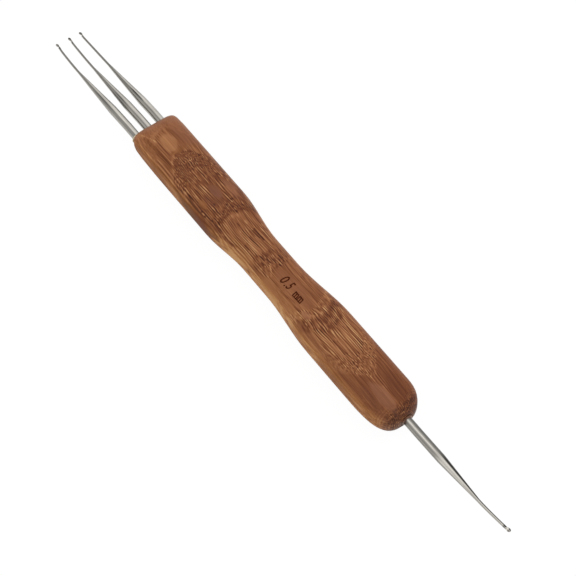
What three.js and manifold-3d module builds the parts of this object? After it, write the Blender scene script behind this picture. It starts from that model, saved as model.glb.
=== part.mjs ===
import * as THREE from 'three';
import { mergeVertices } from 'three/addons/utils/BufferGeometryUtils.js';
import Module from 'manifold-3d';

const wasm = await Module();
wasm.setup();

// A double-ended crochet hook for dreadlocks: a waisted bamboo handle with three parallel steel
// hooks glued into one end and a single steel hook glued into the other.
// Millimetres. +X runs from the three-hook end to the single-hook end, +Y across, +Z up.
// The origin lies under the middle of the whole length, on the plane that the handle rests on.

// Handle: one stick of carbonised bamboo, shaped and sanded all over.
const handleLength = 100.3;
const handleWidth = 12.9;
const handleThickness = 9;
const edgeRadius = 3.4;          // rounding of the four long edges

// Waist between the two grips, sanded freehand, so the two sides and the flats each have their own.
// start: from the square end to the shoulder. fall, flat, rise: the lengths that follow. dip: depth.
const nearWaist = { start: 32.4, fall: 13.2, flat: 9.4, rise: 16.8, dip: 1.24 };
const farWaist = { start: 29.8, fall: 15.2, flat: 8.5, rise: 18.5, dip: 1.5 };
const flatsWaist = { start: 31, fall: 14.2, flat: 9, rise: 17.6, dip: 0.75 };

// Square end, with the three hooks: a nearly straight face with tight corners, rounded broadly
// over to the top. The near side draws in a little towards it.
const squareEndDepth = 4.9;
const squareEndPower = 6;        // 2 is an ellipse, more is squarer
const squareEndRadius = 4;       // rounding between the face and the top
const nearTaper = 0.2;
const nearTaperLength = 12;

// Round end, with the single hook: a dome that meets the top in a soft ridge. Its plan starts to
// draw in sooner on the near side, and more squarely.
const nearDome = { depth: 14.3, power: 3.3 };
const farDome = { depth: 7.35, power: 2.3 };
const domeRadius = 4.45;
const domeLand = 0.3;            // half height of the upright band round the dome's middle

// Hooks: turned, ground and polished steel wire. The three are alike but for hand work.
const shankDiameter = 2.2;
const shankChamfer = 0.25;       // on the end inside the handle
const embedDepth = 18;
const hookPitch = 3.7;           // between the three parallel hooks
const tripleOffset = -0.6;       // the middle hook's place across the handle
const singleOffset = 0.45;
const bendStart = 4;             // the shank is straight this far out of the handle

const tripleNeckDiameter = 0.6;
const tripleTipDiameter = 0.52;  // the neck just before the head
const tripleHeadDiameter = 0.66;
const tripleHeadLength = 0.95;
const singleNeckDiameter = 0.78;
const singleTipDiameter = 0.64;
const singleHeadDiameter = 0.9;
const singleHeadLength = 1.35;

// reach: handle end to tip. straight: cylindrical stretch outside the handle. taper: cone length.
// lean: sideways at the end of the cone. curl: further sideways at the tip. Sideways is along Y.
// mouth: degrees by which the mouth is turned from straight up towards +Y. crook: how far the neck
// stands back, away from the mouth, at the throat. crookLength: from there to where this begins.
const tripleReach = 36.3;
const tripleReachStep = 0.1;     // each hook to the left stands out this much more
const tripleStraight = 9.6;
const tripleStraightStep = 1;
const tripleTaper = 14.6;
const tripleHooks = [
  { name: 'left', place: -1, lean: -0.52, curl: 0.58, mouth: -55, crook: 0.22, crookLength: 2.6 },
  { name: 'middle', place: 0, lean: -0.52, curl: 0.5, mouth: -50, crook: 0.2, crookLength: 2 },
  { name: 'right', place: 1, lean: -0.57, curl: 0.06, mouth: -60, crook: 0.28, crookLength: 1 },
].map((hook) => ({
  ...hook,
  reach: tripleReach - hook.place * tripleReachStep,
  straight: tripleStraight - hook.place * tripleStraightStep,
  taper: tripleTaper,
}));
const singleHook = {
  name: 'single', reach: 34.2, straight: 11.9, taper: 12.4, lean: 0.25, curl: 0.72, mouth: 0,
  crook: 0.04, crookLength: 1.5,
};
const curlPower = 1.5;           // how late along the neck the curl comes
const crookReturn = 0.6;         // share of the crook that the head takes back towards its tip
const neckCrowding = 1.6;        // 1 spaces the neck's facets evenly, more crowds them at its head

// Throat, cut into the mouth side of each head.
const throatSetbackShare = 0.6;  // tip to the throat's deepest point, of the head's length
const throatRampShare = 1.24;    // length of the gentle slope behind the throat, likewise
const throatDepth = 0.04;        // how far past the neck's middle the cut goes
const throatRadius = 0.12;
const beakUndercut = 0.28;       // how far the beak's point hangs back over the throat

// Sockets and adhesive: drilled blind holes, each lined with cured epoxy round the shank.
const fitGap = 0.1;              // between touching surfaces
const glueWall = 0.16;
const glueFloor = 0.4;           // adhesive under the shank's end
const drillPointAngle = 118;     // degrees, across the drill's point
const tripleGlueRecess = 0;      // wiped flush with the wood
const singleGlueRecess = 0.1;    // sunk inside the mouth of the socket

// Facets
const roundSegments = 28;
const bulbSegments = 20;
const bulbRings = 14;
const edgeSteps = 6;
const waistStep = 2.2;
const straightStep = 6;
const endSteps = 10;
const domeSteps = 16;
const coneSteps = 6;
const neckSteps = 10;

const bamboo = new THREE.MeshStandardMaterial({ color: 0x8b5a3c, roughness: 0.5, metalness: 0 });
const steel = new THREE.MeshStandardMaterial({ color: 0xb9b8b3, roughness: 0.3, metalness: 1 });
const epoxy = new THREE.MeshStandardMaterial({ color: 0xd9c7a0, roughness: 0.35, metalness: 0 });

const longestReach = Math.max(...tripleHooks.map((hook) => hook.reach));
const overallLength = longestReach + handleLength + singleHook.reach;
const squareEnd = longestReach - overallLength / 2;
const roundEnd = squareEnd + handleLength;
const axisHeight = handleThickness / 2;
const shankRadius = shankDiameter / 2;
const glueInside = shankRadius + fitGap;
const glueOutside = glueInside + glueWall;
const socketRadius = glueOutside + fitGap;
const drillCone = 1 / Math.tan(THREE.MathUtils.degToRad(drillPointAngle / 2));

// Closed mesh to solid: shared vertices merged, slivers of no area dropped.
function solid(geometry) {
  const bare = geometry.clone();
  bare.deleteAttribute('normal');
  bare.deleteAttribute('uv');
  const merged = mergeVertices(bare, 1e-5);
  const corners = merged.index.array;
  const faces = [];
  for (let i = 0; i < corners.length; i += 3) {
    const [a, b, c] = corners.slice(i, i + 3);
    if (a !== b && b !== c && c !== a) faces.push(a, b, c);
  }
  return new wasm.Manifold(new wasm.Mesh({
    numProp: 3,
    vertProperties: new Float32Array(merged.attributes.position.array),
    triVerts: new Uint32Array(faces),
  }));
}

function geometryOf(body) {
  const { vertProperties, triVerts } = body.getMesh();
  const geometry = new THREE.BufferGeometry();
  geometry.setAttribute('position', new THREE.BufferAttribute(vertProperties, 3));
  geometry.setIndex(new THREE.BufferAttribute(triVerts, 1));
  geometry.computeVertexNormals();
  return geometry;
}

function named(name, geometry, material) {
  const mesh = new THREE.Mesh(geometry, material);
  mesh.name = name;
  return mesh;
}

// A solid of revolution about X from [x, radius] points.
function turned(points) {
  const profile = points.map(([x, radius]) => new THREE.Vector2(radius, x));
  const geometry = new THREE.LatheGeometry(profile, roundSegments);
  return geometry.rotateZ(-Math.PI / 2);
}

// 0 at the grips and 1 along the narrowest stretch, x measured from the square end.
function waistShare(x, { start, fall, flat, rise }) {
  const flatEnd = start + fall + flat;
  return THREE.MathUtils.smoothstep(x, start, start + fall)
    - THREE.MathUtils.smoothstep(x, flatEnd, flatEnd + rise);
}

function thicknessRatio(x) {
  return 1 - (2 * flatsWaist.dip * waistShare(x, flatsWaist)) / handleThickness;
}

const nearShape = { side: -1, waist: nearWaist, dome: nearDome, taper: nearTaper };
const farShape = { side: 1, waist: farWaist, dome: farDome, taper: 0 };

// How far x has come through an end of this depth: 0 where the end starts, 1 at its middle.
function squareShare(x) {
  return Math.max(0, 1 - x / squareEndDepth);
}

function domeShare(x, dome) {
  return Math.max(0, 1 - (handleLength - x) / dome.depth);
}

// The plan outline of one side, drawn in by inset, from a station x along the handle. Each end is
// a quarter of a superellipse, and drawing in shortens both of its half axes.
function planPoint(x, inset, { side, waist, dome, taper }) {
  const square = squareShare(x);
  const domed = domeShare(x, dome);
  const squareFactor = (1 - square ** squareEndPower) ** (1 / squareEndPower);
  const domeFactor = (1 - domed ** dome.power) ** (1 / dome.power);
  const drawnIn = waist.dip * waistShare(x, waist)
    + taper * (1 - THREE.MathUtils.smoothstep(x, 0, nearTaperLength));
  const half = handleWidth / 2 - drawnIn - inset;
  return [x + inset * (square - domed), side * half * squareFactor * domeFactor];
}

// How the edge is rounded at a station: land is the half height of the upright band, radius and
// sweep are the arc from that band to the flat top.
function edgeRounding(x, dome) {
  const half = handleThickness / 2;
  const toSquare = squareShare(x);
  const toDome = domeShare(x, dome) ** dome.power;
  const mix = (side, square, domed) => side + (square - side) * toSquare + (domed - side) * toDome;
  const land = mix(half - edgeRadius, half - squareEndRadius, domeLand);
  const radius = Math.max(half - land, mix(edgeRadius, squareEndRadius, domeRadius));
  return { land, radius, sweep: Math.asin(Math.min(1, (half - land) / radius)) };
}

// Places along the handle, from the middle of the square end to the middle of the round end,
// closer together where the outline turns.
function handleStations() {
  const places = [];
  const add = (x) => {
    if (places.length === 0 || x > places[places.length - 1] + 1e-3) places.push(x);
  };
  const run = (from, to, step) => {
    const count = Math.max(1, Math.round((to - from) / step));
    for (let i = 1; i <= count; i += 1) add(from + ((to - from) * i) / count);
  };
  const quarter = Math.PI / 2;
  for (let i = 0; i <= endSteps; i += 1) {
    add(squareEndDepth * (1 - Math.cos((quarter * i) / endSteps) ** (2 / squareEndPower)));
  }
  const waistStart = Math.min(nearWaist.start, farWaist.start, flatsWaist.start);
  const waistEnd = Math.max(
    ...[nearWaist, farWaist, flatsWaist].map(({ start, fall, flat, rise }) => start + fall + flat + rise),
  );
  const domeDepth = Math.max(nearDome.depth, farDome.depth);
  run(squareEndDepth, waistStart, straightStep);
  run(waistStart, Math.min(waistEnd, handleLength - domeDepth), waistStep);
  run(waistEnd, handleLength - domeDepth, straightStep);
  for (let i = domeSteps; i >= 0; i -= 1) {
    add(handleLength - domeDepth * (1 - Math.cos((quarter * i) / domeSteps)));
  }
  return places;
}

// The handle before drilling: rings of plan outlines from the flat bottom to the flat top, each
// drawn in by the edge rounding, with both flats closed by strips across the handle.
function handleBlank() {
  const places = handleStations();
  const last = places.length - 1;
  const around = 2 * last;
  const levels = [];
  for (let i = -edgeSteps; i <= edgeSteps; i += 1) {
    if (i === 0) levels.push([-1, 0], [1, 0]);
    else levels.push([Math.sign(i), Math.abs(i) / edgeSteps]);
  }
  const points = [];
  for (const [up, share] of levels) {
    for (let i = 0; i < around; i += 1) {
      const shape = i > last ? nearShape : farShape;
      const x = places[i > last ? around - i : i];
      const { land, radius, sweep } = edgeRounding(x, shape.dome);
      const turn = sweep * share;
      const inset = radius * (1 - Math.cos(turn));
      const [px, py] = planPoint(x, inset, shape);
      const height = (land + radius * Math.sin(turn)) * thicknessRatio(x);
      points.push(squareEnd + px, py, axisHeight + up * height);
    }
  }
  const faces = [];
  for (let ring = 0; ring < levels.length - 1; ring += 1) {
    for (let i = 0; i < around; i += 1) {
      const next = (i + 1) % around;
      const low = ring * around;
      const high = low + around;
      faces.push(low + i, high + i, low + next, low + next, high + i, high + next);
    }
  }
  const top = (levels.length - 1) * around;
  for (let i = 0; i < last; i += 1) {
    const a = i;
    const b = i + 1;
    const c = (around - i) % around;
    const d = around - i - 1;
    if (a !== c) faces.push(a, b, c, top + a, top + c, top + b);
    if (b !== d) faces.push(c, b, d, top + c, top + d, top + b);
  }
  const geometry = new THREE.BufferGeometry();
  geometry.setAttribute('position', new THREE.Float32BufferAttribute(points, 3));
  geometry.setIndex(faces);
  return solid(geometry);
}

// Blind hole with a drill's point, about X, its mouth at x = 0 and open outwards.
function drilledHole(radius, depth, outward) {
  return turned([
    [-depth - radius * drillCone, 0],
    [-depth, radius],
    [outward, radius],
    [outward, 0],
  ]);
}

// The cured adhesive: a thin sleeve with a floor, following the hole's drilled point.
function adhesiveCup(outward) {
  const floor = -embedDepth - fitGap;
  const depth = -floor + glueFloor;
  return turned([
    [-depth - glueOutside * drillCone, 0],
    [-depth, glueOutside],
    [outward, glueOutside],
    [outward, glueInside],
    [floor, glueInside],
    [floor, 0],
  ]);
}

// One hook, lying along X with x = 0 at the handle's end and its tip at x = reach. The bends and
// the mouth's turn go towards side, which is 1 or -1 along Y.
function hookGeometry(hook, neck, tip, head, headLength, side) {
  const mouthTurn = side * THREE.MathUtils.degToRad(hook.mouth);
  const coneStart = hook.straight;
  const coneEnd = coneStart + hook.taper;
  const headMiddle = hook.reach - headLength / 2;
  const profile = [
    [-embedDepth, 0],
    [-embedDepth, shankRadius - shankChamfer],
    [-embedDepth + shankChamfer, shankRadius],
    [bendStart, shankRadius],
  ];
  for (let i = 0; i <= coneSteps; i += 1) {
    const share = i / coneSteps;
    profile.push([
      THREE.MathUtils.lerp(coneStart, coneEnd, share),
      THREE.MathUtils.lerp(shankRadius, neck / 2, share),
    ]);
  }
  for (let i = 1; i <= neckSteps; i += 1) {
    const share = 1 - (1 - i / neckSteps) ** neckCrowding;
    profile.push([
      THREE.MathUtils.lerp(coneEnd, headMiddle, share),
      THREE.MathUtils.lerp(neck / 2, tip / 2, share),
    ]);
  }
  profile.push([headMiddle + tip / 4, tip / 4], [headMiddle + tip / 3, 0]);

  // The head stands out on the mouth side only: its back is flush with the neck's.
  const bulb = new THREE.SphereGeometry(1, bulbSegments, bulbRings);
  bulb.rotateZ(-Math.PI / 2);
  bulb.scale(headLength / 2, head / 2, head / 2);
  bulb.translate(headMiddle, (head - tip) / 2, 0);

  const throat = hook.reach - headLength * throatSetbackShare;
  const throatRamp = headLength * throatRampShare;
  const clear = head + throatRadius;
  const cut = new THREE.Shape();
  cut.moveTo(throat - throatRamp, tip / 2);
  cut.lineTo(throat - throatRadius * 2, -throatDepth);
  cut.quadraticCurveTo(throat, -throatDepth, throat - beakUndercut / 3, throatRadius);
  cut.lineTo(throat - beakUndercut, clear);
  cut.lineTo(throat - throatRamp, clear);
  cut.closePath();
  const mouth = new THREE.ExtrudeGeometry(cut, { depth: 2 * head, bevelEnabled: false, curveSegments: 5 });
  mouth.translate(0, 0, -head);

  const end = solid(bulb.rotateX(Math.PI / 2 - mouthTurn));
  const notch = solid(mouth.rotateX(Math.PI / 2 - mouthTurn));
  const geometry = geometryOf(solid(turned(profile)).add(end).subtract(notch));

  const place = geometry.attributes.position;
  for (let i = 0; i < place.count; i += 1) {
    const x = place.getX(i);
    const leaning = Math.max(0, x - bendStart) / (coneEnd - bendStart);
    const curling = Math.max(0, x - coneEnd) / (hook.reach - coneEnd);
    const standing = THREE.MathUtils.smoothstep(x, throat - hook.crookLength, throat);
    const returning = crookReturn * THREE.MathUtils.smoothstep(x, throat, hook.reach);
    const back = hook.crook * (standing - returning);
    const sideways = side * (hook.lean * leaning + hook.curl * curling ** curlPower);
    place.setY(i, place.getY(i) + sideways - back * Math.sin(mouthTurn));
    place.setZ(i, place.getZ(i) - back * Math.cos(mouthTurn));
  }
  geometry.computeVertexNormals();
  return geometry;
}

const tool = new THREE.Group();

// Each end is laid out with +X pointing out of the handle, so the square end is turned half round.
const squareMount = new THREE.Group();
squareMount.position.set(squareEnd, 0, axisHeight);
squareMount.rotation.z = Math.PI;
const roundMount = new THREE.Group();
roundMount.position.set(roundEnd, 0, axisHeight);
tool.add(squareMount, roundMount);

const blank = handleBlank();
let drilled = blank;
const socketDepth = embedDepth + fitGap + glueFloor + fitGap;

function addHook(mount, hook, y, geometry, recess) {
  const outward = 2 * shankDiameter;
  const placement = new THREE.Matrix4().makeTranslation(0, y, 0);
  mount.updateMatrixWorld(true);
  placement.premultiply(mount.matrixWorld);
  const socket = drilledHole(socketRadius, socketDepth, outward).applyMatrix4(placement);
  drilled = drilled.subtract(solid(socket));

  // The adhesive is wiped off level with the wood, or left sunk in the socket's mouth.
  const direction = Math.sign(placement.elements[0]);
  const level = blank.translate([-direction * recess, 0, 0]);
  const cup = solid(adhesiveCup(outward).applyMatrix4(placement)).intersect(level);
  tool.add(named(`adhesive_${hook.name}`, geometryOf(cup), epoxy));

  const shank = named(`hook_${hook.name}`, geometry, steel);
  shank.position.y = y;
  mount.add(shank);
}

for (const hook of tripleHooks) {
  const y = tripleOffset + hook.place * hookPitch;
  const geometry = hookGeometry(
    hook, tripleNeckDiameter, tripleTipDiameter, tripleHeadDiameter, tripleHeadLength, -1,
  );
  addHook(squareMount, hook, -y, geometry, tripleGlueRecess);
}
addHook(
  roundMount,
  singleHook,
  singleOffset,
  hookGeometry(singleHook, singleNeckDiameter, singleTipDiameter, singleHeadDiameter, singleHeadLength, 1),
  singleGlueRecess,
);

tool.add(named('handle', geometryOf(drilled), bamboo));

export default tool;
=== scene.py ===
import math

import bpy
from mathutils import Matrix, Vector


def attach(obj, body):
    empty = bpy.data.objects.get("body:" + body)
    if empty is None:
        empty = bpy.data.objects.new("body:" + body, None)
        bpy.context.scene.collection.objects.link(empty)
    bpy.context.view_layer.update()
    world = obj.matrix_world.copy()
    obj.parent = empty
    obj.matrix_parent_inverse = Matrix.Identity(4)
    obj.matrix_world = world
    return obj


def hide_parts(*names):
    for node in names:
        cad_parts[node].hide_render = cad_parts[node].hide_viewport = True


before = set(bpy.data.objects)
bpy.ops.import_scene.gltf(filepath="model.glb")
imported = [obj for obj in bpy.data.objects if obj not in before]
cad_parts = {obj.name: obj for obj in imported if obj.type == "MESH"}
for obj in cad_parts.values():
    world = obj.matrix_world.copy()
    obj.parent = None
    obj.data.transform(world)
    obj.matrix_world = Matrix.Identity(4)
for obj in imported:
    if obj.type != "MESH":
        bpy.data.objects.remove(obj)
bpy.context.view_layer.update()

# Camera: a long lens above and to one side, so that the tool runs from the upper left corner to the
# lower right one, with the three hooks farthest away.
MM = 0.001
AZIMUTH, ELEVATION = math.radians(53.84), math.radians(57.44)
AXIS_HEIGHT = 4.5  # mm, the middle of the handle above the floor
LOOK_AT = Vector((-0.22, 0, AXIS_HEIGHT)) * MM
DISTANCE, ASIDE, BELOW = 442.5 * MM, 4.35 * MM, 5.512 * MM
LENS, SENSOR_WIDTH = 118.89, 36
NEAREST, FARTHEST = 0.01, 10

back = Vector((
    math.sin(AZIMUTH) * math.cos(ELEVATION),
    -math.cos(AZIMUTH) * math.cos(ELEVATION),
    math.sin(ELEVATION),
))
right = Vector((math.cos(AZIMUTH), math.sin(AZIMUTH), 0))
up = back.cross(right)
camera_data = bpy.data.cameras.new("camera")
camera_data.lens, camera_data.sensor_width = LENS, SENSOR_WIDTH
camera_data.clip_start, camera_data.clip_end = NEAREST, FARTHEST
camera = bpy.data.objects.new("camera", camera_data)
camera.matrix_world = Matrix((right, up, back)).transposed().to_4x4()
camera.location = LOOK_AT + back * DISTANCE + right * ASIDE - up * BELOW
bpy.context.scene.collection.objects.link(camera)
bpy.context.scene.camera = camera

# Handle: one stick of carbonised bamboo, sawn and sanded to shape and finished with a thin coat of
# satin lacquer. Its long dark fibre bundles show as streaks, and as dots wherever the sanded face
# runs across them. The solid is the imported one, with its corners joined and its shading rounded.
HANDLE_SMOOTHING = 40  # degrees between faces, up to which the shading is smooth
SAME_CORNER, SHORTEST_EDGE = 2e-6, 1e-6


def deselect():
    if bpy.context.mode != "OBJECT":
        bpy.ops.object.mode_set(mode="OBJECT")
    bpy.ops.object.select_all(action="DESELECT")


def pick(piece):
    deselect()
    piece.select_set(True)
    bpy.context.view_layer.objects.active = piece


def take_over(node_name, name, smooth_angle):
    """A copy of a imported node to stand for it: corners merged, shading smooth up to an angle."""
    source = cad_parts[node_name]
    piece = bpy.data.objects.new(name, source.data.copy())
    bpy.context.scene.collection.objects.link(piece)
    pick(piece)
    bpy.ops.object.mode_set(mode="EDIT")
    bpy.ops.mesh.select_all(action="SELECT")
    bpy.ops.mesh.remove_doubles(threshold=SAME_CORNER)
    bpy.ops.mesh.dissolve_degenerate(threshold=SHORTEST_EDGE)
    bpy.ops.object.mode_set(mode="OBJECT")
    bpy.ops.object.shade_smooth_by_angle(angle=math.radians(smooth_angle))
    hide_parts(node_name)
    return piece


def paint(hex_colour):
    """sRGB hex to linear colour."""
    parts = [int(hex_colour[i:i + 2], 16) / 255 for i in (1, 3, 5)]
    return tuple(p / 12.92 if p <= 0.04045 else ((p + 0.055) / 1.055) ** 2.4 for p in parts) + (1,)


def new_material(name):
    material = bpy.data.materials.new(name)
    material.use_nodes = True
    material.node_tree.nodes.clear()
    return material, material.node_tree


def add(kind, inputs=(), stops=(), **settings):
    """Adds a node to the tree in hand, with its settings, the stops of its ramp and its links.

    Inputs come in order or by socket. Each is a number, a hex colour, an output to link, or a node
    whose first output is meant.
    """
    made = tree.nodes.new("ShaderNode" + kind)
    for key, value in settings.items():
        setattr(made, key, value)
    if stops:
        elements = made.color_ramp.elements
        for _ in stops[2:]:
            elements.new(0.5)
        for element, (place, colour) in zip(elements, stops):
            element.position = place
            element.color = paint(colour) if isinstance(colour, str) else (colour,) * 3 + (1,)
    for socket, value in inputs.items() if isinstance(inputs, dict) else enumerate(inputs):
        if isinstance(value, bpy.types.Node):
            value = value.outputs[0]
        if isinstance(value, bpy.types.NodeSocket):
            tree.links.new(value, made.inputs[socket])
        else:
            made.inputs[socket].default_value = paint(value) if isinstance(value, str) else value
    return made


def total(first, *rest):
    for value in rest:
        first = add("Math", (first, value), operation="ADD")
    return first


def product(first, *rest):
    for value in rest:
        first = add("Math", (first, value), operation="MULTIPLY")
    return first


def place_in_mm():
    """Where a point of the piece lies: along the tool, across it and up."""
    place = add("TexCoord").outputs["Object"]
    in_mm = add("VectorMath", {0: place, "Scale": 1 / MM}, operation="SCALE")
    return add("SeparateXYZ", (in_mm,)).outputs


def uneven(place, size_mm, detail=1.0):
    """Growth or wear that comes and goes over a size, from about -0.3 to 0.3."""
    sized = [
        add("Math", (value, size), operation="DIVIDE") for value, size in zip(place, size_mm)
    ]
    growth = {"Vector": add("CombineXYZ", sized), "Scale": 1.0, "Detail": detail}
    return add("Math", (add("TexNoise", growth), 0.5), operation="SUBTRACT")


handle = take_over("handle", "bamboo_handle", HANDLE_SMOOTHING)
handle.modifiers.new("even shading", "WEIGHTED_NORMAL").keep_sharp = True
pick(handle)
bpy.ops.object.modifier_apply(modifier="even shading")

bamboo, tree = new_material("carbonised bamboo, sanded and satin lacquered")
x, y, z = place_in_mm()
normal = add("NewGeometry").outputs["Normal"]
facing_x, facing_y, facing_z = add("SeparateXYZ", (normal,)).outputs

# Along the handle the sanded face cuts the fibres at a changing slant. Each row starts a stretch:
# x in mm, depth lost per mm along it, strength of the bundles there, tone from 0 dark to 1 light.
STRETCHES = [
    (-50, 0.50, 0.40, 0.55), (-44.3, 0.02, 0.60, 0.48), (-36.6, 0.58, 0.86, 0.345),
    (-30, 0.20, 0.92, 0.388), (-26, 0.08, 0.90, 0.408), (-19, 0.25, 0.80, 0.36),
    (-17, 0.40, 0.90, 0.31), (-14.4, 0.15, 0.65, 0.475), (-9, 0.06, 1.05, 0.475),
    (-1.8, 0.24, 0.80, 0.435), (4, 0.01, 0.50, 0.505), (17.3, 0.16, 0.95, 0.53),
    (20, 0.17, 1.08, 0.39), (25, 0.05, 1.05, 0.512), (33, 0.34, 0.70, 0.485),
    (39.5, 0.008, 0.55, 0.40), (50.3, 0.10, 0.80, 0.38), (53, 0.0, 0.80, 0.38),
]
FIRST, SPAN = STRETCHES[0][0], STRETCHES[-1][0] - STRETCHES[0][0]
HALF_EASE = 0.5  # mm, before and after the place where one stretch passes into the next
# The stretches end in bows across the handle, and wander by a few millimetres.
BOW, BOW_MIDDLE, WANDER = 0.006, -0.3, 3.0
wander = uneven((x, y, z), (6, 2.2, 4))
aside = add("Math", (y, BOW_MIDDLE), operation="SUBTRACT")
bow = product(x, BOW, add("Math", (aside, 2.0), operation="POWER"))
along = total(x, bow, product(wander, WANDER))
share = add("Math", (along, FIRST), operation="SUBTRACT")
share = add("Math", (share, SPAN), operation="DIVIDE")


def profile(values, eased):
    """A value along the handle, from one per stretch, eased or not from each to the next."""
    made = add("FloatCurve", {"Value": share})
    curve = made.mapping.curves[0]
    spots = []
    for i, value in enumerate(values):
        begin = STRETCHES[i][0]
        if eased and i > 0:
            spots += [(begin - HALF_EASE, values[i - 1]), (begin + HALF_EASE, value)]
        else:
            spots.append((begin, value))
    curve.points[0].location = (0, spots[0][1])
    curve.points[1].location = (1, spots[-1][1])
    for begin, value in spots[1:-1]:
        curve.points.new((begin - FIRST) / SPAN, value)
    for point in curve.points:
        point.handle_type = "VECTOR"
    made.mapping.update()
    return made


EASED = {"interpolation_type": "SMOOTHSTEP"}  # a look comes and goes softly over its range
depths = [0.0]
for (begin, slant, _, _), (finish, _, _, _) in zip(STRETCHES, STRETCHES[1:]):
    depths.append(depths[-1] + slant * (finish - begin))
dive = product(profile([depth / depths[-1] for depth in depths], False), depths[-1])
end_on = add("Math", (facing_x,), operation="ABSOLUTE")
end_grain = add("MapRange", (end_on, 0.3, 0.8), **EASED)
strength = profile([row[2] for row in STRETCHES], True)
END_STRENGTH = 0.4
strength = total(strength, product(end_grain, END_STRENGTH))

# The dome is dark round its rim, and its end is mottled with pores.
RIM_TONE, PORE_TONE = -0.14, 0.95
dome_rim = product(
    add("MapRange", (facing_x, 0.42, 0.56), **EASED),
    add("MapRange", (facing_x, 0.85, 0.98, 1.0, 0.3), **EASED),
)
pores = uneven((x, y, z), (2, 0.8, 0.45))
pores = product(pores, add("MapRange", (facing_x, 0.34, 0.62), **EASED), PORE_TONE)
tone = profile([row[3] for row in STRETCHES], True)
tone = total(tone, product(dome_rim, RIM_TONE), pores)

# The slant only counts near the flat faces: on the sides the fibres run straight.
off_axis = add("Math", (z, AXIS_HEIGHT), operation="SUBTRACT")
off_axis = add("Math", (off_axis,), operation="ABSOLUTE")
near_faces = add("MapRange", (off_axis, 0.5, 3.6), **EASED)
deep = total(z, product(dive, near_faces))
DRIFT = 2.0  # how far the fibres stray sideways
across = total(y, product(uneven((x, y, z), (14, 5, 5)), DRIFT))
grain = (x, across, deep)

on_top = add("MapRange", (facing_z, 0.0, 0.35), **EASED)
side_on = add("Math", (facing_y,), operation="ABSOLUTE")
on_sides = add("MapRange", (side_on, 0.75, 0.99), **EASED)
near_side = add("MapRange", (facing_y, -0.75, -0.99), **EASED)

# Along the two sides the tone changes in steps: first mm, last mm, tone before and after. They also
# have a dark band, and streaks that run straight.
SIDE_STEPS = [
    (-34, -29, 0.0, 0.11), (-27, -20, 0.0, -0.11), (-17, -9, -0.09, 0.33), (10, 24, 0.0, -0.19),
    (26, 31, 0.0, -0.12), (32, 44, 0.0, 0.20),
]
BAND_TONE, STREAK_TONE = -0.08, 0.45
side_tone = total(*(add("MapRange", (x, *step), **EASED) for step in SIDE_STEPS))
side_band = product(
    add("MapRange", (x, -26, -19), **EASED), add("MapRange", (x, -18, -14, 1.0, 0.0), **EASED),
)

# The dome's near flank is lighter, and a painted highlight lies along the rounded edge above the
# near side.
FLANK_TONE, EDGE_HIGHLIGHT = 0.14, 0.055
dome_side = product(
    add("MapRange", (facing_x, 0.15, 0.5), **EASED),
    add("MapRange", (facing_y, -0.2, -0.7), **EASED),
)
near_edge_highlight = product(
    add("MapRange", (facing_y, -0.15, -0.5), **EASED),
    add("Math", (1.0, near_side), operation="SUBTRACT"),
)
tone = total(tone, product(dome_side, FLANK_TONE), product(near_edge_highlight, EDGE_HIGHLIGHT))

# Round the dome the growth layers come out as faint rings.
RING_PITCH, RING_TONE = 0.62, 0.06
turns = product(add("Math", (x, RING_PITCH), operation="DIVIDE"), math.tau)
rings = product(
    add("Math", (turns,), operation="SINE"), add("MapRange", (facing_x, 0.1, 0.4), **EASED),
    add("MapRange", (side_on, 0.15, 0.5), **EASED), RING_TONE,
)
tone = total(tone, rings)
side_streaks = uneven((x, 0.0, z), (10, 1, 0.9))
side_tone = total(side_tone, product(side_band, BAND_TONE), product(side_streaks, STREAK_TONE))
tone = total(tone, product(on_sides, side_tone))

# Past the waist the bundles fade on the rounded edges.
EDGE_FADE = 0.6
rounding = product(
    add("MapRange", (side_on, 0.25, 0.7), **EASED), add("MapRange", (x, 14, 20), **EASED),
)
faded = add("Math", (1.0, product(rounding, EDGE_FADE)), operation="SUBTRACT")
strength = product(strength, faded)

# Smooth patches: x, y, half length, half width in mm, tone, how far the bundles fade, pinkness.
PATCHES = [
    (-40.2, -0.75, 2.9, 1.9, 0.16, 0.95, 0.0),
    (-41.5, 4.0, 5.5, 2.1, -0.02, 0.75, 0.5),
    (-46.4, 0.2, 2.2, 4.6, -0.02, 0.7, 0.4),
    (-37.0, -0.3, 0.7, 2.2, -0.05, 0.5, -0.6),
    (-27.3, -0.4, 1.5, 0.6, 0.02, 0.6, 0.0),
    (-35.0, -0.5, 0.7, 0.5, 0.03, 0.6, 0.0),
    (-22.0, 0.1, 2.4, 1.1, -0.05, 0.9, 0.6),
    (-20.5, -1.2, 2.6, 2.4, -0.09, 0.2, 0.3),
    (-21.0, 3.7, 3.0, 0.6, 0.10, 0.3, 0.2),
    (-39.0, -4.9, 6.5, 1.1, -0.10, 0.0, -0.4),
    (-20.5, -5.5, 5.0, 1.0, -0.12, 0.0, -0.2),
    (44.5, -4.1, 5.0, 0.8, -0.07, 0.4, 0.4),
    (-20.7, -4.3, 1.9, 0.6, 0.10, 0.9, -0.6),
    (-20.0, 3.6, 3.5, 1.3, 0.0, 0.3, 0.5),
    (10.6, -0.9, 6.6, 2.3, 0.01, 0.9, 0.3),
    (18.4, -3.0, 1.6, 0.9, 0.08, 0.7, 0.6),
    (45.6, -1.8, 5.0, 1.5, 0.07, 0.7, 0.8),
    (46.0, 2.4, 5.4, 2.2, -0.07, 0.3, 0.1),
    (10.0, -4.5, 9.0, 0.9, 0.04, 0.3, -0.7),
    (-5.0, -4.2, 5.0, 0.7, 0.07, 0.3, -0.7),
    (-39.5, 1.8, 4.0, 0.6, -0.06, 0.5, 0.0),
]
PATCH_CORE, PATCH_EDGE = 0.75, 1.2  # full up to the first and gone at the second, in half widths
PATCH_WANDER = 2.0
flat = add("CombineXYZ", (x, y))
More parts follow.
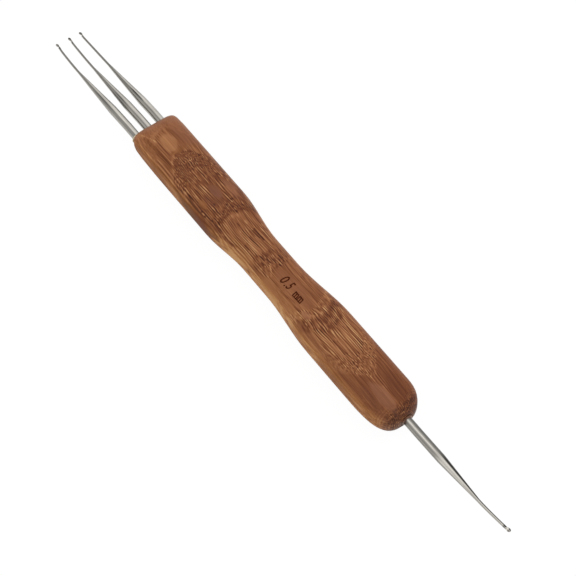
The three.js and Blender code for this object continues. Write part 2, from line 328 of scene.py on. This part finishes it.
wobble = add("CombineXYZ", (product(wander, PATCH_WANDER), uneven((x, y, z), (3, 3, 3))))
spot = add("VectorMath", (flat, wobble), operation="ADD")
pink = 0.0
for middle_x, middle_y, half_x, half_y, lift, fade, rosy in PATCHES:
    offset = add("VectorMath", (spot, (middle_x, middle_y, 0)), operation="SUBTRACT")
    offset = add("VectorMath", (offset, (half_x, half_y, 1)), operation="DIVIDE")
    radius = add("VectorMath", (offset,), operation="LENGTH").outputs["Value"]
    inside = add("MapRange", (radius, PATCH_CORE, PATCH_EDGE, 1.0, 0.0), **EASED)
    inside = product(inside, on_top)
    tone = total(tone, product(inside, lift))
    faded = add("Math", (1.0, product(inside, fade)), operation="SUBTRACT")
    strength = product(strength, faded)
    pink = total(pink, product(inside, rosy))

# Bundles: long dark threads, seen lengthways as streaks and across as dots.
BUNDLE_PITCH, BUNDLE_LAYER = 0.46, 0.55
layer_place = add("CombineXYZ", (
    add("Math", (across, BUNDLE_PITCH), operation="DIVIDE"),
    add("Math", (deep, BUNDLE_LAYER), operation="DIVIDE"),
))
bundles = add(
    "TexVoronoi", {"Vector": layer_place, "Scale": 1.0, "Randomness": 0.6},
    voronoi_dimensions="2D",
)
threads = add("MapRange", (bundles, 0.1, 0.55, -0.15, 0.115), **EASED)

# Between them finer fibres lie side by side at an even pitch, in rows that shift and come and go.
FIBRE_PITCH, SHIFT = 0.47, 1.15
shifts = product(uneven(grain, (6, 1.3, 0.6)), SHIFT)
pitches = add("Math", (across, FIBRE_PITCH), operation="DIVIDE")
rows = add("Math", (product(total(pitches, shifts), math.tau),), operation="SINE")
present = add("MapRange", (uneven(grain, (5, 0.8, 0.4)), -0.15, 0.12), **EASED)
fine = product(
    uneven(grain, (8, 0.2, 0.32)), total(product(strength, 0.5), product(on_sides, 0.4), 0.3),
)
row_strength = add("MapRange", (strength, 0.35, 0.9, 0.02, 0.35), **EASED)
row_strength = total(row_strength, product(on_sides, 0.1))
fine = total(fine, product(rows, present, row_strength))
NARROW_TONE, BROAD_TONE = 0.2, 0.16
narrow = product(uneven(grain, (26, 0.7, 1.2), 2.0), NARROW_TONE)
broad = product(uneven(grain, (30, 2.4, 3.0)), BROAD_TONE)
tone = total(tone, product(threads, strength), fine, narrow, broad)

# Single marks of the wood, and one painted highlight on the ridge before the dome: x and y of both
# ends, half width in mm, darker (-) or lighter (+).
MARKS = [
    # square end and the light spot
    (-46.4, -4.5, -44.0, -3.7, 0.12, 0.14), (-44.0, -3.7, -42.0, -2.9, 0.12, 0.14),
    (-43, -2.75, -36.8, -2.8, 0.14, -0.16), (-43, -3.2, -36.5, -3.2, 0.12, 0.12),
    (-45, -4.4, -34, -4.5, 0.4, -0.12), (-46, -6.0, -30, -6.0, 0.1, 0.16),
    # rim of the dotted stretch
    (-37.3, 0.3, -36.8, -1.6, 0.2, 0.05), (-36.8, -1.6, -35.2, -3.3, 0.24, 0.09),
    (-35.2, -3.3, -32.4, -4.5, 0.26, 0.1), (-32.4, -4.5, -30.0, -5.0, 0.22, 0.1),
    (-33.2, 0.3, -32.5, 0.55, 0.13, 0.2), (-32.2, 0.2, -32.0, 0.2, 0.18, -0.3),
    (-33.7, 3.0, -32.9, 3.0, 0.17, -0.25), (-31.9, 3.1, -31.1, 3.1, 0.17, -0.25),
    # streaks before the dark band
    (-28, 3.1, -22, 2.9, 0.16, -0.2), (-25, 2.3, -19, 2.2, 0.16, -0.2),
    (-26, -2.2, -19.5, -2.6, 0.14, -0.14), (-19.8, -5.45, -19.5, -5.45, 0.18, -0.4),
    (-18.3, -5.6, -18.0, -5.6, 0.16, -0.4), (-17.4, 0.1, -17.1, 0.1, 0.2, -0.4),
    (-19.1, -2.3, -18.9, -2.3, 0.25, -0.3), (-18.0, 2.0, -17.8, 2.0, 0.25, -0.3),
    (-17.5, 1.6, -17.1, 1.6, 0.12, 0.35), (-18.5, -3.4, -18.1, -3.4, 0.12, 0.2),
    # waist
    (-14.1, -2.2, -13.6, 0.5, 0.5, 0.06), (-11.1, 1.0, -10.5, 1.0, 0.3, 0.15),
    (-11.6, -0.9, -10.8, -0.9, 0.12, -0.3), (-16, -4.35, -7, -4.35, 0.14, -0.2),
    (-16, -5.0, -8, -5.0, 0.14, -0.22), (-8.2, 1.55, -4.5, 1.5, 0.2, -0.34),
    (-8, 1.0, -5.5, 1.05, 0.16, -0.3), (-8.4, 0.35, -6.5, 0.4, 0.14, -0.2),
    (-7, -0.6, -0.2, -0.6, 0.13, -0.2), (-9, -1.7, -6, -1.8, 0.14, -0.2),
    (-6, -2.3, -1.6, -2.3, 0.14, -0.22), (-5.8, -2.9, -4.4, -2.9, 0.15, -0.28),
    (0.4, 1.9, 1.5, 1.9, 0.2, -0.25), (2.0, 1.9, 3.0, 1.8, 0.2, -0.25),
    (1.2, 0.1, 2.3, 0.1, 0.17, -0.28), (0.2, -1.0, 1.6, -1.05, 0.16, -0.28),
    (-0.9, -1.75, 0.3, -1.75, 0.24, -0.3), (0.3, -2.6, 1.3, -2.5, 0.16, -0.25),
    (3.2, 0.4, 3.5, 0.4, 0.18, -0.28), (3.0, -0.4, 3.5, -0.4, 0.14, -0.25),
    (2.0, -1.3, 3.2, -2.0, 0.2, 0.14), (3.2, -2.0, 4.6, -2.9, 0.2, 0.1),
    (4.0, 1.5, 17, 1.2, 0.13, -0.14), (9, 2.6, 17, 2.45, 0.35, -0.1),
    (4.5, -3.4, 17, -3.6, 0.16, -0.14),
    # rounded end's streaks and arcs
    (17.7, -2.2, 19.0, -2.2, 0.1, 0.16), (17.8, -2.5, 18.8, -2.5, 0.09, -0.14),
    (26, 2.6, 32, 2.5, 0.13, -0.2), (25.5, 1.9, 32.5, 1.9, 0.13, -0.2),
    (25, 0.6, 33.5, 0.5, 0.12, -0.15), (27.8, -1.5, 31.8, -1.5, 0.15, -0.25),
    (27.3, -2.2, 31.6, -2.2, 0.15, -0.25), (33.6, -1.9, 35.0, -1.9, 0.14, -0.22),
    (33.7, -2.35, 34.9, -2.35, 0.14, -0.2), (35.2, -1.2, 36.0, -1.9, 0.2, -0.13),
    (36.0, -1.9, 36.3, -2.9, 0.2, -0.1), (36.3, -2.9, 36.9, -3.4, 0.16, -0.13),
    (39.4, -0.9, 41.0, -0.9, 0.14, 0.12), (39.0, -1.45, 44.0, -1.45, 0.09, 0.12),
    (43, -0.2, 49.6, -0.2, 0.12, 0.14), (44, 0.25, 50.0, 0.2, 0.13, -0.1),
    # a painted highlight along the ridge where the top face turns into the dome
    (50.3, -0.7, 50.35, 0.2, 0.14, 0.3),
]
MARK_CORE, MARK_EDGE = 0.3, 1.7  # full up to the first and gone at the second, in half widths
marks = 0.0
for start_x, start_y, end_x, end_y, half, lift in MARKS:
    offset = add("VectorMath", (flat, (start_x, start_y, 0)), operation="SUBTRACT")
    run = (end_x - start_x, end_y - start_y, 0)
    square = run[0] ** 2 + run[1] ** 2
    passed = add("VectorMath", (offset, [r / square for r in run]), operation="DOT_PRODUCT")
    passed = add("Clamp", (passed.outputs["Value"],))
    nearest = add("VectorMath", {0: run, "Scale": passed}, operation="SCALE")
    gap = add("VectorMath", (offset, nearest), operation="DISTANCE").outputs["Value"]
    reaches = (MARK_CORE * half, MARK_EDGE * half, lift, 0.0)
    marks = total(marks, add("MapRange", (gap, *reaches), **EASED))
tone = total(tone, product(marks, on_top))

wood = add("ValToRGB", (tone,), stops=[
    (0.02, "#3a190b"), (0.22, "#5f2f16"), (0.42, "#7c4828"), (0.56, "#915b38"),
    (0.72, "#aa744b"), (0.95, "#c99a68"),
])

# Tints over it: pinker patches, more golden ones, the near side, its dark band and the end grain.
PATCH_TINT, NEAR_TINT, BAND_TINT, END_TINT = 0.35, 0.27, 0.7, 0.2
tint = product(add("MapRange", (pink, 0.0, 1.0), **EASED), PATCH_TINT)
wood = add("Mix", {0: tint, 6: wood, 7: "#94654f"}, data_type="RGBA").outputs[2]
tint = product(add("MapRange", (pink, 0.0, -1.0), **EASED), PATCH_TINT)
wood = add("Mix", {0: tint, 6: wood, 7: "#96602f"}, data_type="RGBA").outputs[2]
tint = product(near_side, NEAR_TINT)
wood = add("Mix", {0: tint, 6: wood, 7: "#a8702f"}, data_type="RGBA").outputs[2]
tint = product(near_side, side_band, BAND_TINT)
wood = add("Mix", {0: tint, 6: wood, 7: "#6a3217"}, data_type="RGBA").outputs[2]
tint = product(end_grain, END_TINT)
wood = add("Mix", {0: tint, 6: wood, 7: "#3c2115"}, data_type="RGBA").outputs[2]

# The lacquer gives a soft shine. It is thinner down the near side, where it was wiped.
WIPED, SHINE, COAT = 0.6, 0.15, 0.12
lacquer = add("Math", (1.0, product(near_side, WIPED)), operation="SUBTRACT")
shader = add("BsdfPrincipled", {
    "Base Color": wood, "Roughness": 0.55, "IOR": 1.5,
    "Specular IOR Level": product(lacquer, SHINE),
    "Coat Weight": product(lacquer, COAT), "Coat Roughness": 0.2,
    "Normal": add("Bump", {"Strength": 0.2, "Distance": 0.03 * MM, "Height": tone}),
})
add("OutputMaterial", (shader,))


def dress(piece, material):
    piece.data.materials.clear()
    piece.data.materials.append(material)


dress(handle, bamboo)
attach(handle, "root")

# Size mark: the finest hook's size, burnt into the top face beside the waist with a hot point. It
# is a thin skin of scorched wood that follows the face.
MARK_HEIGHT, MARK_PROUD, MARK_DEPTH = 12, 0.015, 0.06
CURVE_STEPS, CUTS, TOUCHING = 3, 2, 1e-6

# Each sign: its left, right, bottom and top on the face in mm, how far it leans and how much bolder
# it is drawn. The feet of the last two letters have run together in a bar.
SIGNS = [
    ("0", 6.7, 8.0, -2.3, 0.3, 0.12, 0.012), (".", 8.35, 8.75, -2.3, -1.9, 0.12, 0.0),
    ("5", 8.95, 10.05, -2.25, 0.25, 0.12, 0.012),
    ("mm", 11.45, 14.8, -2.27, -0.78, -0.28, 0.03), ("_", 11.75, 14.75, -2.35, -2.1, 0.0, 0.0),
]
signs = []
for body, left_edge, right_edge, bottom, top, lean, bolder in SIGNS:
    deselect()
    bpy.ops.object.text_add(location=(0, 0, 0))
    sign = bpy.context.active_object
    sign.data.body, sign.data.shear, sign.data.resolution_u = body, lean, CURVE_STEPS
    sign.data.offset = bolder
    bpy.ops.object.convert(target="MESH")
    corners = [corner.co for corner in sign.data.vertices]
    low_x, high_x = min(c.x for c in corners), max(c.x for c in corners)
    low_y, high_y = min(c.y for c in corners), max(c.y for c in corners)
    wide, tall = (right_edge - left_edge) / (high_x - low_x), (top - bottom) / (high_y - low_y)
    sign.scale = (wide * MM, tall * MM, 1)
    sign.location = (
        (left_edge - low_x * wide) * MM, (bottom - low_y * tall) * MM, MARK_HEIGHT * MM,
    )
    bpy.ops.object.transform_apply(location=True, rotation=True, scale=True)
    signs.append(sign)
deselect()
for sign in signs:
    sign.select_set(True)
bpy.context.view_layer.objects.active = signs[0]
bpy.ops.object.join()
mark = bpy.context.active_object
mark.name = "burnt_size_mark"
bpy.ops.object.mode_set(mode="EDIT")
bpy.ops.mesh.select_all(action="SELECT")
bpy.ops.mesh.remove_doubles(threshold=TOUCHING)
bpy.ops.mesh.quads_convert_to_tris()
bpy.ops.mesh.subdivide(number_cuts=CUTS)
bpy.ops.object.mode_set(mode="OBJECT")
wrap = mark.modifiers.new("laid on the wood", "SHRINKWRAP")
wrap.target, wrap.wrap_method = handle, "PROJECT"
wrap.use_project_x = wrap.use_project_y = wrap.use_positive_direction = False
wrap.use_project_z = wrap.use_negative_direction = True
bpy.ops.object.modifier_apply(modifier=wrap.name)
bpy.ops.object.mode_set(mode="EDIT")
bpy.ops.mesh.select_all(action="SELECT")
bpy.ops.transform.translate(value=(0, 0, MARK_PROUD * MM))
bpy.ops.object.mode_set(mode="OBJECT")
skin = mark.modifiers.new("depth of the burn", "SOLIDIFY")
skin.thickness, skin.offset = MARK_DEPTH * MM, -1
bpy.ops.object.modifier_apply(modifier=skin.name)

# Scorched wood is a dull dark brown, a little lighter where the point passed quickly.
scorched, tree = new_material("scorched bamboo")
scorching = total(uneven(place_in_mm(), (0.6, 0.25, 0.6), 2.0), 0.5)
shader = add("BsdfPrincipled", {
    "Base Color": add("ValToRGB", (scorching,), stops=[
        (0.35, "#3a1506"), (0.6, "#50220c"), (0.75, "#683517"),
    ]),
    "Roughness": 0.7, "Specular IOR Level": 0.05,
})
add("OutputMaterial", (shader,))
dress(mark, scorched)
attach(mark, "root")

# Four hooks: lengths of stainless steel wire, ground down to a cone and a thin neck, with a throat
# filed behind each head. Their colour holds painted reflections: darker and lighter bands along the
# wire, set by the way the surface faces round it, and painted glints and shade near each head.
SQUARE_END, ROUND_END = 49.05, 51.25
HOOK_SMOOTHING = 38
DARKEST = 0.04  # the least light that the steel gives back
# Stripes and rings are full up to the first and gone at the second, in half widths.
STRIPE_CORE, STRIPE_EDGE, RING_CORE, RING_EDGE = 0.3, 1.5, 0.4, 1.3
STRIPE_END, CONE_BEGUN, CONE_FULL, NECK_BEGUN = 1, 1, 3, 7  # mm, over which they pass into the next
SCRATCHES, STAINS = 0.8, 0.3  # how much the wear changes the light

# Painted reflections, as how much light each band gives back: degrees round the wire from straight
# up towards +Y, then the share at the shank, on the cone and at the neck.
THREE_REFLECTION_BANDS = [
    (-180, 0.45, 0.42, 0.40), (-110, 0.37, 0.38, 0.52), (-69, 0.36, 0.35, 0.50),
    (-51, 0.38, 0.34, 0.42), (-35, 0.40, 0.34, 0.31), (-20, 0.39, 0.25, 0.25),
    (-6, 0.58, 0.43, 0.24), (9, 0.59, 0.54, 0.23), (28, 0.54, 0.40, 0.23),
    (69, 0.22, 0.18, 0.14), (180, 0.45, 0.42, 0.40),
]
ONE_REFLECTION_BANDS = [
    (-180, 0.40, 0.50, 0.45), (-110, 0.35, 0.42, 0.44), (-69, 0.22, 0.27, 0.42),
    (-51, 0.43, 0.90, 0.52), (-35, 0.36, 0.78, 0.58), (-20, 0.75, 1.00, 0.85),
    (-6, 0.50, 0.80, 0.66), (9, 0.25, 0.05, 0.12), (28, 0.21, 0.05, 0.05),
    (69, 0.05, 0.12, 0.05), (180, 0.40, 0.50, 0.45),
]
# Each hook: its painted reflection bands, its reach out of the handle and where its shank and cone
# end, in mm. Then its own painted reflection stripes along it as degrees, half width in degrees,
# first and last mm, lighter or darker, and painted glints and shade in rings round the throat as mm
# back from the tip, half width, lighter or darker.
HOOKS = {
    "left": (
        THREE_REFLECTION_BANDS, 36.4, 10.6, 25.2,
        [(-6, 9, 0, 8, 0.1), (-22, 10, 9, 17, -0.09)],
        [(1.7, 0.4, -0.2), (1.05, 0.25, 0.35), (0.3, 0.3, 0.1)],
    ),
    "middle": (
        THREE_REFLECTION_BANDS, 36.3, 9.6, 24.2,
        [(-44, 14, 0, 8, 0.2), (-35, 12, 8, 20, 0.07), (-100, 40, 9, 15, -0.2),
         (-21, 9, 9, 14, -0.13)],
        [(2.2, 0.4, -0.08), (1.0, 0.25, 0.5), (0.35, 0.35, -0.15)],
    ),
    "right": (
        THREE_REFLECTION_BANDS, 36.2, 8.6, 23.2,
        [(-20, 6, 0, 7, -0.06), (-10, 8, 0, 12, -0.12), (-42, 14, 0, 14, 0.14),
         (-75, 10, 0, 9, 0.14), (69, 26, 0, 16, -0.12), (9, 7, 8, 13, 0.12),
         (-13, 9, 8, 13, -0.22)],
        [(1.1, 0.3, 0.2), (0.35, 0.3, -0.15)],
    ),
    "single": (
        ONE_REFLECTION_BANDS, 34.2, 10.6, 24.3,
        [(-13, 5, -1, 10, 0.4), (-48, 4, 0, 9, -0.08), (-60, 3, 2, 9, 0.08)],
        [(1.75, 0.35, -0.36), (0.8, 0.2, 0.5), (0.3, 0.25, -0.25)],
    ),
}
for side, (reflection_bands, reach, shank_end, cone_end, painted_stripes, painted_tip_rings) in HOOKS.items():
    steel, tree = new_material(f"stainless steel wire, belt polished, {side}")
    x, y, _ = place_in_mm()
    normal = add("NewGeometry").outputs["Normal"]
    _, facing_y, facing_z = add("SeparateXYZ", (normal,)).outputs
    turn = add("Math", (facing_y, facing_z), operation="ARCTAN2")
    turn = product(turn, math.degrees(1))
    round_share = total(add("Math", (turn, 360), operation="DIVIDE"), 0.5)
    out = add("Math", (x,), operation="ABSOLUTE")
    out = add(
        "Math", (out, ROUND_END if side == "single" else SQUARE_END), operation="SUBTRACT",
    )
    # Painted reflections: the colour follows the way the surface faces round the wire.
    on_shank, on_cone, on_neck = (
        add("ValToRGB", (round_share,), stops=[(band[0] / 360 + 0.5, band[part]) for band in reflection_bands])
        for part in (1, 2, 3)
    )
    to_cone = add("MapRange", (out, shank_end - CONE_BEGUN, shank_end + CONE_FULL), **EASED)
    light = add("Mix", {0: to_cone, 6: on_shank, 7: on_cone}, data_type="RGBA").outputs[2]
    to_neck = add("MapRange", (out, cone_end - NECK_BEGUN, cone_end), **EASED)
    light = add("Mix", {0: to_neck, 6: light, 7: on_neck}, data_type="RGBA").outputs[2]
    # Painted reflection stripes along the wire, each at its own angle round it.
    for angle, half, begin, finish, lift in painted_stripes:
        beside = add("Math", (turn, angle), operation="SUBTRACT")
        beside = add("Math", (beside,), operation="ABSOLUTE")
        stripe = product(
            add("MapRange", (beside, STRIPE_CORE * half, STRIPE_EDGE * half, lift, 0.0), **EASED),
            add("MapRange", (out, begin - STRIPE_END, begin + STRIPE_END), **EASED),
            add("MapRange", (out, finish - STRIPE_END, finish + STRIPE_END, 1.0, 0.0), **EASED),
        )
        light = total(light, stripe)
    # Painted glints and shade in rings round the throat behind the head.
    for from_tip, half, lift in painted_tip_rings:
        beside = add("Math", (out, reach - from_tip), operation="SUBTRACT")
        beside = add("Math", (beside,), operation="ABSOLUTE")
        ring = add("MapRange", (beside, RING_CORE * half, RING_EDGE * half, lift, 0.0), **EASED)
        light = total(light, ring)
    light = add("Math", (light, DARKEST), operation="MAXIMUM")
    lines, patches = (uneven((x, turn, y), size, 2.0) for size in ((30, 18, 3.7), (2.5, 50, 3.7)))
    light = product(light, total(1.0, product(lines, SCRATCHES), product(patches, STAINS)))
    shader = add("BsdfPrincipled", {
        "Base Color": add(
            "Mix", {0: light, 6: "#000000", 7: "#fffaf0"}, data_type="RGBA",
        ).outputs[2],
        "Metallic": 1.0,
        "Roughness": add("MapRange", (lines, -0.3, 0.3, 0.32, 0.24), **EASED),
    })
    add("OutputMaterial", (shader,))
    hook = take_over(f"hook_{side}", f"steel_hook_{side}", HOOK_SMOOTHING)
    dress(hook, steel)
    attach(hook, "root")

# Adhesive: cured epoxy round each shank, inside its socket. It is pale and slightly cloudy at the
# square end, and brown with sanding dust round the single hook.
EPOXIES = {
    "cured epoxy, pale and cloudy": (("left", "middle", "right"), "#c9b78f", "#e6dabb"),
    "cured epoxy, filled with bamboo dust": (("single",), "#583521", "#7a4d30"),
}
CLOUD_SIZE = (0.6, 0.6, 0.6)
for name, (sides, darker, lighter) in EPOXIES.items():
    epoxy, tree = new_material(name)
    cloud = total(uneven(place_in_mm(), CLOUD_SIZE, 2.0), 0.5)
    shader = add("BsdfPrincipled", {
        "Base Color": add("ValToRGB", (cloud,), stops=[(0.35, darker), (0.65, lighter)]),
        "Roughness": 0.4, "IOR": 1.55,
    })
    add("OutputMaterial", (shader,))
    for side in sides:
        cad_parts[f"adhesive_{side}"].material_slots[0].material = epoxy

# Collars: the epoxy that came out round each shank, wiped down to a thin fillet over the socket's
# mouth. One is drawn out ring by ring from a circle, and the others are copies of it.
COLLAR = [
    (1.02, -0.35), (1.02, 0.18), (1.08, 0.18), (1.14, 0.08), (1.25, 0.0), (1.4, -0.05),
    (1.49, -0.1), (1.5, -0.35),
]
COLLAR_SIDES, COLLAR_SMOOTHING = 72, 50
MOUTHS = {
    "left": (-SQUARE_END, -4.3), "middle": (-SQUARE_END, -0.6), "right": (-SQUARE_END, 3.1),
    "single": (ROUND_END, 0.45),
}
deselect()
bpy.ops.mesh.primitive_circle_add(
    vertices=COLLAR_SIDES, radius=COLLAR[0][0] * MM, fill_type="NOTHING",
    location=(0, 0, COLLAR[0][1] * MM),
)
collar = bpy.context.active_object
bpy.ops.object.mode_set(mode="EDIT")
bpy.ops.mesh.select_all(action="SELECT")
for (radius, height), (next_radius, next_height) in zip(COLLAR, COLLAR[1:]):
    rise = (next_height - height) * MM
    bpy.ops.mesh.extrude_edges_move(TRANSFORM_OT_translate={"value": (0, 0, rise)})
    bpy.ops.transform.resize(value=(next_radius / radius, next_radius / radius, 1))
bpy.ops.mesh.select_all(action="DESELECT")
bpy.ops.mesh.select_non_manifold()
bpy.ops.mesh.bridge_edge_loops()
bpy.ops.mesh.select_all(action="SELECT")
bpy.ops.mesh.normals_make_consistent(inside=False)
bpy.ops.object.mode_set(mode="OBJECT")
bpy.ops.object.transform_apply(location=True, rotation=True, scale=True)
bpy.ops.object.shade_smooth_by_angle(angle=math.radians(COLLAR_SMOOTHING))
for side, (mouth_x, mouth_y) in MOUTHS.items():
    fillet = bpy.data.objects.new(f"epoxy_collar_{side}", collar.data.copy())
    bpy.context.scene.collection.objects.link(fillet)
    pick(fillet)
    fillet.rotation_euler = (0, math.copysign(math.pi / 2, mouth_x), 0)
    fillet.location = Vector((mouth_x, mouth_y, AXIS_HEIGHT)) * MM
    bpy.ops.object.transform_apply(location=True, rotation=True, scale=True)
    fillet.data.materials.append(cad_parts[f"adhesive_{side}"].material_slots[0].material)
    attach(fillet, "root")
bpy.data.objects.remove(collar)

# Floor: a flat sheet of matt white paper, large enough to fill every view. It looks plain
# white to the camera and in the steel, and still takes the tool's soft shadow.
FLOOR_SIZE = 3.0
WHITE_SHARE = 0.93  # what is seen as plain white: the rest is paper that takes the shadow
WHITE_LIGHT = 1.03  # a little over 1, to make up for the paper's share
deselect()
bpy.ops.mesh.primitive_plane_add(size=FLOOR_SIZE, location=(0, 0, 0))
floor = bpy.context.active_object
floor.name = "floor"
white, tree = new_material("white sweep")
rays = add("LightPath").outputs
seen = add("Math", (rays["Is Camera Ray"], rays["Is Glossy Ray"]), operation="MAXIMUM")
seen = add("Math", (seen, rays["Is Transmission Ray"]), operation="MAXIMUM")
paper = add("BsdfDiffuse", {"Color": "#f2f2f2"})
glow = add("Emission", {"Color": "#ffffff", "Strength": WHITE_LIGHT})
glow_share = product(seen, WHITE_SHARE)
add("OutputMaterial", (add("MixShader", (glow_share, paper, glow)),))
floor.data.materials.append(white)

# Light: three soft lamps in an even grey room. Reflections see a room that is brighter on the far
# side, and the camera sees plain white.
DAYLIGHT = (0.56, 0.56, 0.56, 1)
ROOM = [(0.0, 0.6), (0.2, 0.62), (0.42, 0.62), (0.5, 0.88), (0.72, 1.05), (0.9, 0.9), (1.0, 0.5)]
LAMPS = {  # place and width in mm, power in watts
    "lamp over": ((-200, 100, 600), 400, 0.5),
    "lamp behind": ((150, 480, 230), 300, 1.15),
    "lamp side": ((-250, -450, 350), 350, 1.1),
}
world = bpy.data.worlds.new("studio")
bpy.context.scene.world = world
world.use_nodes = True
tree = world.node_tree
tree.nodes.clear()
rays = add("LightPath").outputs
_, towards_y, _ = add("SeparateXYZ", (add("TexCoord").outputs["Generated"],)).outputs
room = add("ValToRGB", (add("MapRange", (towards_y, -1.0, 1.0)),), stops=ROOM)
level = add("Mix", {0: rays["Is Glossy Ray"], 6: DAYLIGHT, 7: room}, data_type="RGBA").outputs[2]
level = add("Mix", {0: rays["Is Camera Ray"], 6: level, 7: "#ffffff"}, data_type="RGBA").outputs[2]
add("OutputWorld", (add("Background", (level, 1.0)),))

for name, (lamp_place, width, power) in LAMPS.items():
    lamp_data = bpy.data.lights.new(name, "AREA")
    lamp_data.shape, lamp_data.size, lamp_data.energy = "SQUARE", width * MM, power
    lamp = bpy.data.objects.new(name, lamp_data)
    lamp.location = Vector(lamp_place) * MM
    lamp.rotation_euler = (-lamp.location).to_track_quat("-Z", "Y").to_euler()
    lamp.visible_glossy = False
    bpy.context.scene.collection.objects.link(lamp)

bpy.context.scene.view_settings.view_transform = "Standard"
